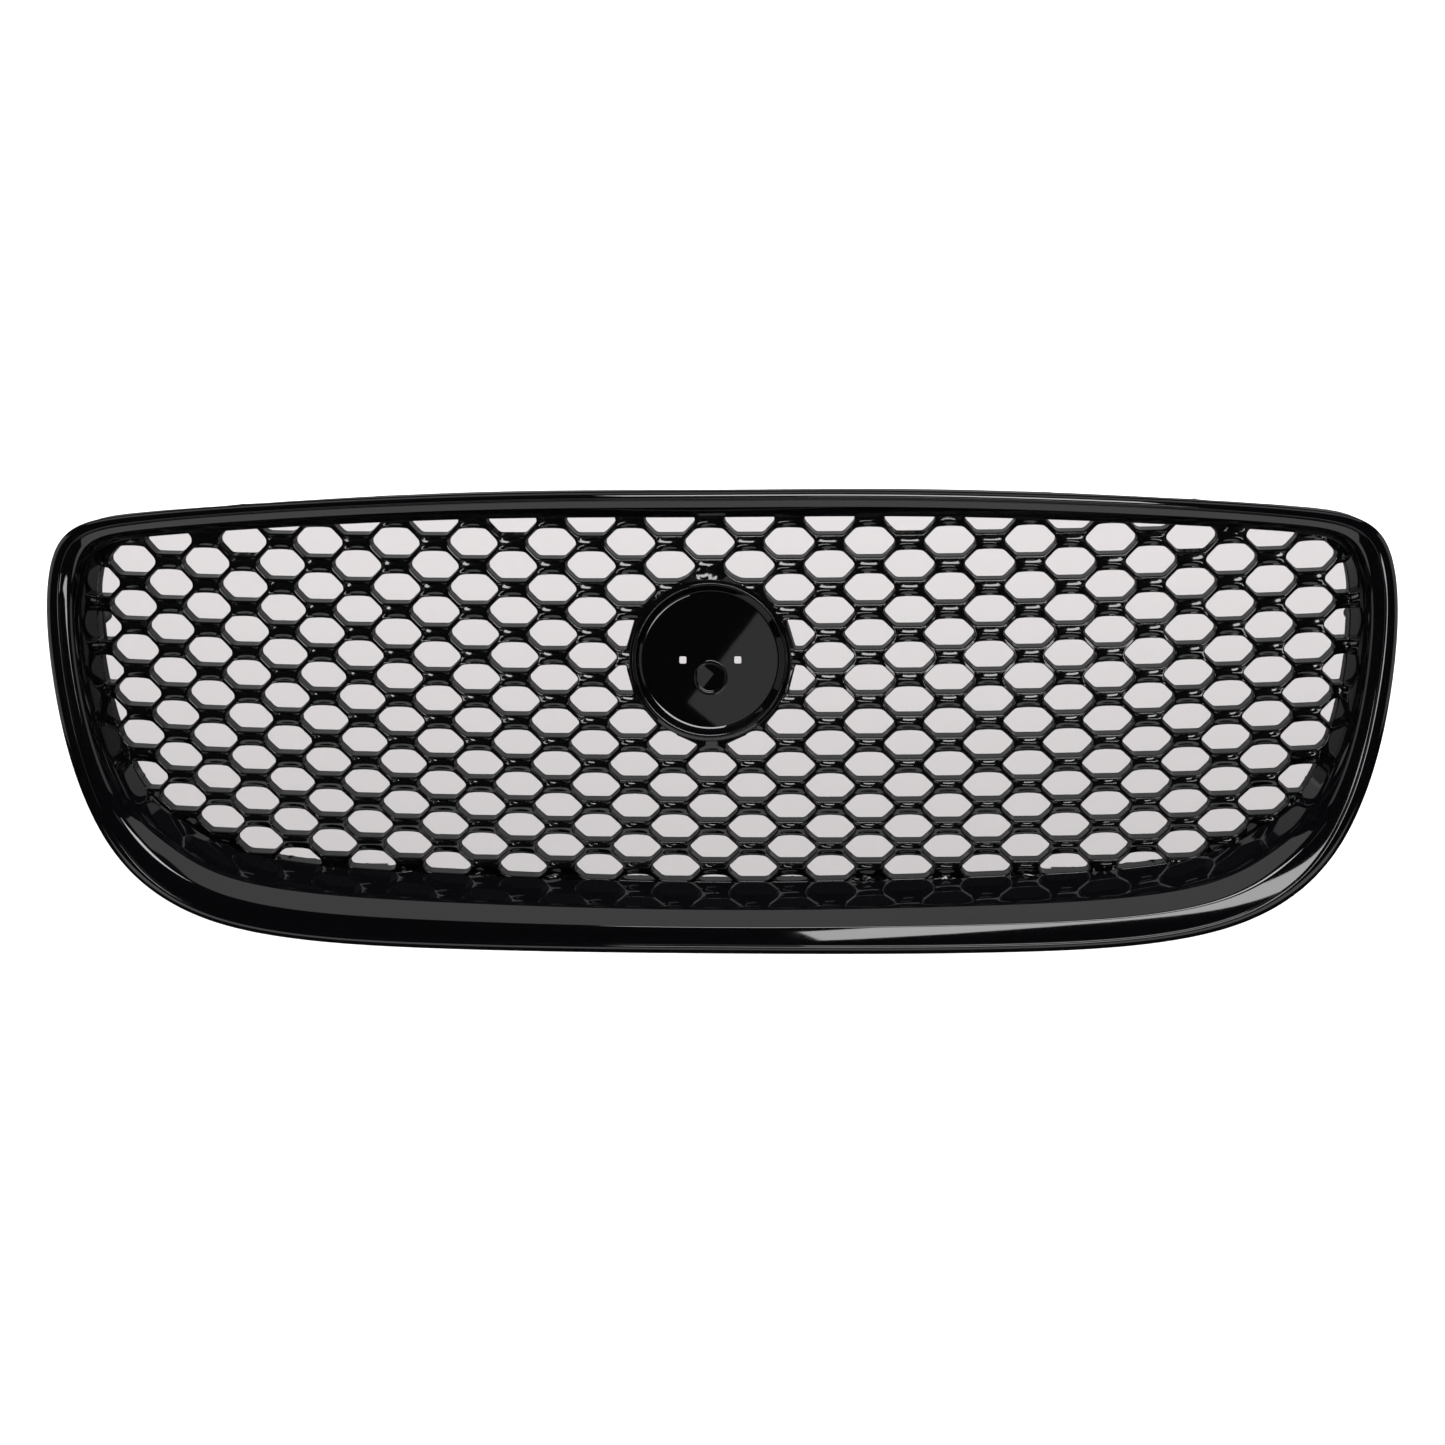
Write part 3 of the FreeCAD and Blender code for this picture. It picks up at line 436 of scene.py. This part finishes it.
def opening_centres(normals, distances):
    """Middle of what is left of each opening, from a grid of trial points, and how much
    of the full octagon is left."""
    gx, gz = np.meshgrid(np.linspace(-15.5, 15.5, 41), np.linspace(-8.7, 8.7, 25))
    trial = np.stack([gx.ravel(), gz.ravel()], axis=1)
    depth = distances[:, None, :] - np.einsum("pd,cnd->cpn", trial, normals)
    inside = (depth > 0).all(axis=2)
    share = inside.sum(axis=1)
    middle = inside @ trial / np.maximum(share, 1)[:, None]
    return middle, share / share.max()


def saddle(x, z):
    """How far the bars are set back at a point: least along the bar's middle, more above
    and below it, none at its two ends nor on the rim of the cell above."""
    row = np.round(z / ROW)
    v = z - row * ROW
    shift = np.mod(row + 1, 2) * PITCH
    u = x - shift - np.round((x - shift) / (2 * PITCH)) * 2 * PITCH
    ends = np.clip(1 - (u / 8.9) ** 2, 0, 1)
    edge = np.clip((3.8 - v) / 0.6, 0, 1)
    edge = edge**2 * (3 - 2 * edge)
    return ends * edge * (0.9 + 1.3 * np.clip(np.abs(v) / 3.4, 0, 1) ** 2)


centres, near = cell_centres()
normals, distances = cell_planes(centres, near)
middle, share = opening_centres(normals, distances)
closed = share < MIN_SHARE
tile = tile_corners()
edge_here = tile[None] - middle[:, None]
length = np.linalg.norm(edge_here, axis=2)
heading = edge_here / length[..., None]


def opening(grow):
    """Distance from each opening's middle to its rim along every heading: the nearest
    side, blended so that corners come out rounded; grow moves all sides outwards."""
    away = distances - (normals * middle[:, None]).sum(axis=2) + grow
    facing = np.einsum("cjd,cnd->cjn", heading, normals)
    ratio = np.clip(facing, 0, None) / np.maximum(away, 0.05)[:, None, :]
    return (ratio**26).sum(axis=2) ** (-1 / 26)


def tile_rings():
    """Rings of points from the back of the tile, through the opening and over its
    rounded edge, out to the tile's boundary in front, as (flat points, depth behind the
    front or None, depth behind the back)."""
    rings = [(length, None, 0.0), (opening(0.1), None, 0.0), (opening(-0.3), None, -0.4),
             (opening(-0.28), None, -0.8), (opening(-0.02), EDGE_ROUND + 0.4, None)]
    for arc in np.radians([0, 30, 60, 90]):
        grow = EDGE_ROUND * (1 - math.cos(arc))
        rings.append((opening(grow), EDGE_ROUND * (1 - math.sin(arc)), None))
    rim = opening(EDGE_ROUND)
    rings += [(rim + (length - rim) * part, 0.0, None) for part in (0.1, 0.2, 0.3, 0.45, 0.7, 1.0)]
    flat = centres[:, None] + middle[:, None]
    return [(flat + heading * radius[..., None], fore, aft) for radius, fore, aft in rings]


def settle(flat, fore, aft):
    """Lays flat points on the mesh front (fore mm behind it) or back (aft mm behind it).
    In front they stay inside the flange's edge, behind inside the surround's window,
    and everywhere outside the emblem ring."""
    limit = FRONT_LIMIT if aft is None else BACK_LIMIT
    for _ in range(2):
        apart = np.linalg.norm(flat[:, :, None] - inner[None, None, ::6], axis=3)
        near_one = apart.argmin(axis=2) * 6
        out = ((flat - inner[near_one]) * -inward[near_one]).sum(axis=2)
        flat = flat + inward[near_one] * np.clip(out - limit, 0, None)[..., None]
    x, z = flat[..., 0], flat[..., 1]
    close = np.clip((RING - 0.6) / dish_radius(x, z), 1, None)
    x, z = x * close, DISH_Z + (z - DISH_Z) * close
    if aft is None:
        y = mesh_front(x, z) + fore + saddle(x, z) * (out < 0)
    else:
        y = mesh_front(x, z) + MESH_DEPTH + aft
    return np.stack([x, y, z], axis=-1)


def joined(parts):
    """One list of points and one of faces from several (points, faces) pairs."""
    points, faces, first = [], [], 0
    for part_points, part_faces in parts:
        flat = np.asarray(part_points).reshape(-1, 3)
        points.append(flat)
        faces += (np.asarray(part_faces) + first).tolist()
        first += len(flat)
    return np.concatenate(points), faces


def tiles(layers):
    """Faces of a stack of closed rings for every tile; layers is tiles x rings x
    points x 3."""
    count, rings, points = layers.shape[:3]
    one = grid_faces(rings, points, close_columns=True)
    return layers, (one[None] + np.arange(count)[:, None, None] * rings * points).reshape(-1, 4)


open_tiles = np.stack([settle(*ring)[~closed] for ring in tile_rings()], axis=1)
spokes = centres[:, None] + middle[:, None]
blank_front = np.stack([settle(spokes + edge_here * part, 0.0, None)[closed]
                        for part in (0.0, 0.4, 0.7, 1.0)], axis=1)
blank_back = np.stack([settle(spokes + edge_here * part, None, 0.0)[closed]
                       for part in (1.0, 0.5, 0.0)], axis=1)
lattice_points, lattice_faces = joined([tiles(open_tiles), tiles(blank_front), tiles(blank_back)])
lattice_points = to_row(lattice_points)
lattice_faces = np.array(lattice_faces)
mesh_black = gloss_black("mesh_gloss_black", (0.002, 0.002, 0.002), 0.09, 0.02)
quarter = np.digitize(lattice_points[lattice_faces[:, 0], 0], (-0.19, 0.0, 0.19))
for part in range(4):
    name = "mesh_honeycomb_" + "abcd"[part]
    honeycomb = new_piece(name, lattice_points, lattice_faces[quarter == part], 50)
    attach(honeycomb, "root")
    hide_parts("mesh_insert")
    honeycomb.data.materials.append(mesh_black)

# ------------------------------------------------- the mesh insert's rear flange
# A solid band round the mesh, hidden in front by the surround. Its back carries a
# round sunk seat for each screw; the screw positions come from the screws themselves.


def screw_spots(node, spread):
    """Centres, in millimetres across and up, of the separate screws in one node: points
    closer together than spread belong to one screw."""
    mesh = NODES[node].data
    corners = np.empty(len(mesh.vertices) * 3)
    mesh.vertices.foreach_get("co", corners)
    corners = corners.reshape(-1, 3) * 1000 + SEAT
    spots = []
    while len(corners):
        own = np.linalg.norm(corners[:, ::2] - corners[0, ::2], axis=1) < spread
        spots.append((corners[own].min(axis=0) + corners[own].max(axis=0)) / 2)
        corners = corners[~own]
    return np.array(spots)[:, ::2]


SEAT_RADIUS, SEAT_DEPTH, BORE, SCREW_SPREAD = 4.8, 2.2, 2.3, 12
seats = np.concatenate([screw_spots(node, SCREW_SPREAD)
                        for node in ("mesh_screws", "bracket_screws")])
around = np.arange(24) * math.tau / 24
circle = np.stack([np.cos(around), np.sin(around)], axis=1)


def seat_rings():
    """For every screw: the seat's lip on the sloping back, its flat floor, and the edge
    of its bore; seats x 3 rings x points x 3."""
    rings = []
    for radius, sunk in ((SEAT_RADIUS, False), (SEAT_RADIUS, True), (BORE, True)):
        flat = seats[:, None] + circle * radius
        y = mesh_front(flat[..., 0], flat[..., 1]) + MESH_DEPTH
        if sunk:
            y = np.broadcast_to(mesh_front(*seats.T)[:, None] + MESH_DEPTH - SEAT_DEPTH, y.shape)
        rings.append(np.stack([flat[..., 0], y, flat[..., 1]], axis=-1))
    return np.stack(rings, axis=1)


def flange_back():
    """Back of the band between the window and the flange's edge, cut round each seat."""
    window, rim = inner[::3] - inward[::3] * 0.1, inner[::3] - inward[::3] * FLANGE
    holes = (seats[:, None] + circle * SEAT_RADIUS).reshape(-1, 2)
    flat = np.concatenate([window, rim, holes])
    loops, first = [], 0
    for size in [len(window), len(rim)] + [len(circle)] * len(seats):
        loops += [(first + k, first + (k + 1) % size) for k in range(size)]
        first += size
    made = delaunay_2d_cdt([Vector(p) for p in flat], loops, [], 0, 1e-4)
    flat = np.array([tuple(v) for v in made[0]])
    faces = np.array([list(f) for f in made[2] if len(f) == 3])
    middle_of = flat[faces].mean(axis=1)
    apart = np.linalg.norm(middle_of[:, None] - inner[None, ::3], axis=2)
    near_one = apart.argmin(axis=1) * 3
    out = ((middle_of - inner[near_one]) * -inward[near_one]).sum(axis=1)
    off_seats = np.linalg.norm(middle_of[:, None] - seats[None], axis=2).min(axis=1)
    keep = (out > 0.05) & (out < FLANGE) & (off_seats > SEAT_RADIUS)
    faces = faces[keep]
    a, b, c = flat[faces[:, 0]], flat[faces[:, 1]], flat[faces[:, 2]]
    clockwise = np.cross(b - a, c - a) < 0
    faces[~clockwise] = faces[~clockwise][:, ::-1]
    y = mesh_front(*flat.T) + MESH_DEPTH
    return np.stack([flat[:, 0], y, flat[:, 1]], axis=1), faces


edge_band = []
for offset, depth in ((FRONT_OVERLAP, 0.0), (FLANGE, 0.0), (FLANGE, MESH_DEPTH)):
    x, z = (inner - inward * offset).T
    edge_band.append(np.stack([x, mesh_front(x, z) + depth, z], axis=1))
edge_band = np.stack(edge_band, axis=1)
flange_points, flange_faces = joined([
    flange_back(), tiles(seat_rings()), (edge_band, grid_faces(STATIONS, 3, close_rows=True))])
flange = new_piece("mesh_flange", to_row(flange_points), flange_faces, 30)
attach(flange, "root")
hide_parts("mesh_insert")
flange.data.materials.append(mesh_black)

# ----------------------------------------------------------- the emblem's collar
# A short tilted tube moulded with the mesh holds the emblem dish; three lugs across
# its rear end take the dish's screws.


def turned(section, count=96):
    """Surface of revolution: each (radius, height) of the section carried round the
    emblem axis; section points x angles x 3."""
    radius, height = np.array(section, float).T
    angle = np.arange(count) * math.tau / count
    return np.stack([radius[:, None] * np.cos(angle), radius[:, None] * np.sin(angle),
                     np.broadcast_to(height[:, None], (len(radius), count))], axis=-1)


def from_dish(points):
    """Points given across, up and out along the emblem axis, as points of the grille."""
    x, up, out = np.moveaxis(np.asarray(points), -1, 0)
    y = DISH_Y + up * math.sin(DISH_TILT) - out * math.cos(DISH_TILT)
    z = DISH_Z + up * math.cos(DISH_TILT) + out * math.sin(DISH_TILT)
    return np.stack([x, y, z], axis=-1)


def soften(section, reach_mm, count=4, closed_loop=False):
    """Rounds every inner corner of a section of (radius, height) points by a curve that
    starts and ends reach_mm (or a third of the shorter side) from the corner."""
    points = np.array(section, float)
    out = [] if closed_loop else [points[0]]
    span = range(len(points)) if closed_loop else range(1, len(points) - 1)
    for k in span:
        before, corner, after = points[k - 1], points[k], points[(k + 1) % len(points)]
        back, on = before - corner, after - corner
        cut = min(reach_mm, np.linalg.norm(back) / 3, np.linalg.norm(on) / 3)
        start = corner + back / np.linalg.norm(back) * cut
        end = corner + on / np.linalg.norm(on) * cut
        for t in np.linspace(0, 1, count):
            out.append((1 - t) ** 2 * start + 2 * t * (1 - t) * corner + t**2 * end)
    return out if closed_loop else out + [points[-1]]


def ring_of(section, count=96):
    """Closed turned ring: its points and faces."""
    surface = turned(section, count)
    return surface, grid_faces(*surface.shape[:2], close_rows=True, close_columns=True)


COLLAR, SKIRT, COLLAR_LENGTH, POST_CIRCLE = 46.2, 7.0, 11.0, 39.0
post_angles = np.radians([90, 210, 330])
POST_PLACES = POST_CIRCLE * np.stack(
    [np.cos(post_angles), np.sin(post_angles), np.zeros(3)], axis=1)
collar_section = soften([(RING, -SKIRT), (COLLAR, -SKIRT), (COLLAR, -SKIRT - COLLAR_LENGTH),
                         (RING, -SKIRT - COLLAR_LENGTH)], 0.5, 3, True)
lug_section = soften([(2.3, -15.0), (2.3, -18.0), (8.5, -18.0), (8.5, -15.0)], 0.5, 3, True)
collar_parts = [ring_of(collar_section[::-1])]
for place in POST_PLACES:
    lug, lug_faces = ring_of(lug_section[::-1], 40)
    collar_parts.append((lug + place, lug_faces))
collar_points, collar_faces = joined(collar_parts)
collar = new_piece("mesh_collar", to_row(from_dish(collar_points)), collar_faces, 35)
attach(collar, "root")
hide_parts("mesh_insert")
collar.data.materials.append(mesh_black)

# ------------------------------------------------------------- the emblem dish
# Separate gloss-black cup with a rolled rim: outer skirt, sloping ring, ridge, inner
# bevel and a flat floor with two square eyes and a low round boss for the emblem's
# pegs. Three posts on its back take screws through the collar's lugs.
FLOOR_RADIUS, RECESS, DISH_SKIN = 42.1, 4.2, 2.5
EYE_OFFSET, EYE_HALF, EYE_BEVEL = 17.2, 2.25, 0.15
BOSS_DROP, BOSS_OUTER, BOSS_INNER, BOSS_RISE = 11.0, 10.9, 9.0, 2.4
rim_section = soften([
    (FLOOR_RADIUS, -RECESS), (43.2, -RECESS + 0.2), (46.6, 0.8), (47.9, 0.8), (48.3, 0.1),
    (50.3, -0.7), (RING, -1.4), (RING, -SKIRT), (48.3, -SKIRT), (48.3, -2.8),
    (43.1, -RECESS - DISH_SKIN), (FLOOR_RADIUS, -RECESS - DISH_SKIN),
], 0.6)


EYE_POWER, EYE_POINTS, BOSS_POINTS = 6, 32, 64


def square_eye(x, side):
    """Points round one eye, in the floor's plane: a square with rounded corners, where
    |x|^p + |z|^p = side^p with p = EYE_POWER."""
    power = float(EYE_POWER)
    angle = np.arange(EYE_POINTS) * math.tau / EYE_POINTS
    c, s = np.cos(angle), np.sin(angle)
    radius = side / (np.abs(c) ** power + np.abs(s) ** power) ** (1 / power)
    return np.stack([x + radius * c, radius * s], axis=1)


def dish_floor():
    """Flat disc with two eye holes and a round hole where the boss stands."""
    around_rim = turned([(FLOOR_RADIUS, 0)])[0][:, :2]
    boss = turned([(BOSS_OUTER, 0)], BOSS_POINTS)[0][:, :2] - (0, BOSS_DROP)
    eyes = [square_eye(x, EYE_HALF + EYE_BEVEL) for x in (-EYE_OFFSET, EYE_OFFSET)]
    flat = np.concatenate([around_rim, boss, *eyes])
    loops, first = [], 0
    for size in (len(around_rim), len(boss), EYE_POINTS, EYE_POINTS):
        loops += [(first + k, first + (k + 1) % size) for k in range(size)]
        first += size
    made = delaunay_2d_cdt([Vector(p) for p in flat], loops, [], 0, 1e-4)
    flat = np.array([tuple(v) for v in made[0]])
    faces = np.array([list(f) for f in made[2]])
    middle_of = flat[faces].mean(axis=1)
    keep = np.linalg.norm(middle_of + (0, BOSS_DROP), axis=1) > BOSS_OUTER
    for x in (-EYE_OFFSET, EYE_OFFSET):
        reach_out = ((middle_of - (x, 0)) ** EYE_POWER).sum(axis=1) ** (1 / EYE_POWER)
        keep &= reach_out > EYE_HALF + EYE_BEVEL
    faces = faces[keep]
    a, b, c = flat[faces[:, 0]], flat[faces[:, 1]], flat[faces[:, 2]]
    turned_over = np.cross(b - a, c - a) < 0
    faces[turned_over] = faces[turned_over][:, ::-1]
    return np.concatenate([flat, np.full((len(flat), 1), -RECESS)], axis=1), faces


rim = turned(rim_section)
dish_parts = [(rim, grid_faces(*rim.shape[:2], close_columns=True)[:, ::-1])]
floor_points, floor_faces = dish_floor()
dish_parts += [(floor_points, floor_faces),
               (floor_points - (0, 0, DISH_SKIN), floor_faces[:, ::-1])]
for x in (-EYE_OFFSET, EYE_OFFSET):
    rings = [(EYE_HALF + EYE_BEVEL, 0.0), (EYE_HALF, -EYE_BEVEL),
             (EYE_HALF, EYE_BEVEL - DISH_SKIN), (EYE_HALF + EYE_BEVEL, -DISH_SKIN)]
    walls = np.stack([
        np.concatenate([square_eye(x, side), np.full((EYE_POINTS, 1), -RECESS + low)], 1)
        for side, low in rings])
    dish_parts.append((walls, grid_faces(len(rings), EYE_POINTS, close_columns=True)))
boss_section = [(BOSS_OUTER, -RECESS)] + soften([
    (BOSS_OUTER, -RECESS), (BOSS_OUTER, BOSS_RISE - RECESS), (BOSS_INNER, BOSS_RISE - RECESS),
    (BOSS_INNER, 0.3 - RECESS), (BOSS_INNER - 0.6, 0.02 - RECESS), (0.01, 0.02 - RECESS)], 0.35)
boss = turned(boss_section, BOSS_POINTS) - (0, BOSS_DROP, 0)
dish_parts.append((boss, grid_faces(*boss.shape[:2], close_columns=True)[:, ::-1]))
boss_back = turned([(BOSS_OUTER, -RECESS - DISH_SKIN), (0.01, -RECESS - DISH_SKIN)],
                   BOSS_POINTS)
dish_parts.append((boss_back - (0, BOSS_DROP, 0),
                   grid_faces(2, BOSS_POINTS, close_columns=True)))
post = turned(soften([(4.0, -6.0), (4.0, -15.0), (2.05, -15.0), (2.05, -9.0)], 0.4), 32)
for place in POST_PLACES:
    dish_parts.append((post + place, grid_faces(*post.shape[:2], close_columns=True)))
dish_points, dish_faces = joined(dish_parts)
dish = new_piece("emblem_dish", to_row(from_dish(dish_points)), dish_faces, 32)
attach(dish, "root")
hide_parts("badge_dish")
dish.data.materials.append(gloss_black("dish_gloss_black", (0.0012, 0.0012, 0.0015), 0.02, 0.02))

# ------------------------------------------- screws, nuts, clips, brackets and foam
# The fixings keep the shapes they have and get finished surfaces: black zinc on the
# screws, bright zinc on the U-nuts, phosphate on the spring clips, glass-filled nylon
# for the brackets and closed-cell foam along the rear edge.


def two_tone(name, dark, light, metal, rough, grain, relief, cells=False):
    """Surface mottled between two colours by noise of grain per metre; roughness runs
    between the two rough values and relief (metres) lifts the light areas."""
    material = bpy.data.materials.new(name)
    material.use_nodes = True
    nodes, links = material.node_tree.nodes, material.node_tree.links
    shader = nodes["Principled BSDF"]
    shader.inputs["Metallic"].default_value = metal
    place = nodes.new("ShaderNodeTexCoord")
    mottle = nodes.new("ShaderNodeTexVoronoi" if cells else "ShaderNodeTexNoise")
    mottle.inputs["Scale"].default_value = grain
    links.new(place.outputs["Object"], mottle.inputs["Vector"])
    value = mottle.outputs["Distance" if cells else "Fac"]
    tone = nodes.new("ShaderNodeMix")
    tone.data_type = "RGBA"
    tone.inputs["A"].default_value = (*dark, 1)
    tone.inputs["B"].default_value = (*light, 1)
    links.new(value, tone.inputs["Factor"])
    links.new(tone.outputs["Result"], shader.inputs["Base Color"])
    spread = nodes.new("ShaderNodeMapRange")
    spread.inputs["To Min"].default_value, spread.inputs["To Max"].default_value = rough
    links.new(value, spread.inputs["Value"])
    links.new(spread.outputs["Result"], shader.inputs["Roughness"])
    bump = nodes.new("ShaderNodeBump")
    bump.inputs["Strength"].default_value = 0.6
    bump.inputs["Distance"].default_value = relief
    links.new(value, bump.inputs["Height"])
    links.new(bump.outputs["Normal"], shader.inputs["Normal"])
    return material


FINISHES = {
    ("badge_screws", "mesh_screws", "bracket_screws"): two_tone(
        "screw_black_zinc", (0.012, 0.012, 0.014), (0.05, 0.05, 0.055), 1.0, (0.25, 0.45),
        900, 2e-5),
    ("upper_u_nuts",): two_tone(
        "nut_bright_zinc", (0.42, 0.42, 0.40), (0.72, 0.71, 0.66), 1.0, (0.22, 0.42), 500, 2e-5),
    ("lower_spring_clips",): two_tone(
        "clip_phosphate", (0.07, 0.07, 0.075), (0.17, 0.17, 0.18), 0.9, (0.35, 0.6),
        1400, 1e-5),
    ("upper_bracket_left_inner", "upper_bracket_left_outer", "upper_bracket_right_inner",
     "upper_bracket_right_outer", "lower_bracket_left_inner", "lower_bracket_left_outer",
     "lower_bracket_right_inner", "lower_bracket_right_outer", "side_bracket_left",
     "side_bracket_right"): two_tone(
        "bracket_nylon", (0.006, 0.006, 0.006), (0.02, 0.02, 0.021), 0.0, (0.4, 0.6), 1100, 4e-5),
    ("rear_edge_foam",): two_tone(
        "foam_closed_cell", (0.006, 0.006, 0.006), (0.03, 0.03, 0.032), 0.0, (0.85, 1.0), 1300,
        2e-4, cells=True),
}
for names, finish in FINISHES.items():
    for name in names:
        for slot in NODES[name].material_slots:
            slot.material = finish

# ------------------------------------------------------------------ the painted shade card
# A grey card lies on the white floor behind the grille as painted shade. It stands in
# for the grille's shadow, which the floor lamps don't cast, so that the cells look a
# little darker than the floor round about. Its outline is worked out from where the
# camera stands: it fits the cells from there only, and is a plain grey patch elsewhere.
SHADE_CARD_INSET, SHADE_CARD_LIFT = 0.45, 0.002
eye = np.array(camera.matrix_world.translation)
face_line = to_row(section([(width * SHADE_CARD_INSET, blend(0.0, 1.0, 2.0))]))[:, 0]
ray = face_line - eye
shade_card_line = eye + ray * ((FLOOR_Z + SHADE_CARD_LIFT - eye[2]) / ray[:, 2])[:, None]
shade_card = new_piece("painted_shade_card", shade_card_line, [list(range(STATIONS))])
shade_card.visible_glossy = False
shade_card_paper = paper.copy()
shade_card_paper.name = "painted_shade_card_paper"
shade_card_shader = shade_card_paper.node_tree.nodes["Principled BSDF"]
# painted shade: this grey is the floor's tone in the grille's shadow, put into the card's colour
shade_card_shader.inputs["Base Color"].default_value = (0.318, 0.305, 0.307, 1)
shade_card.data.materials.append(shade_card_paper)
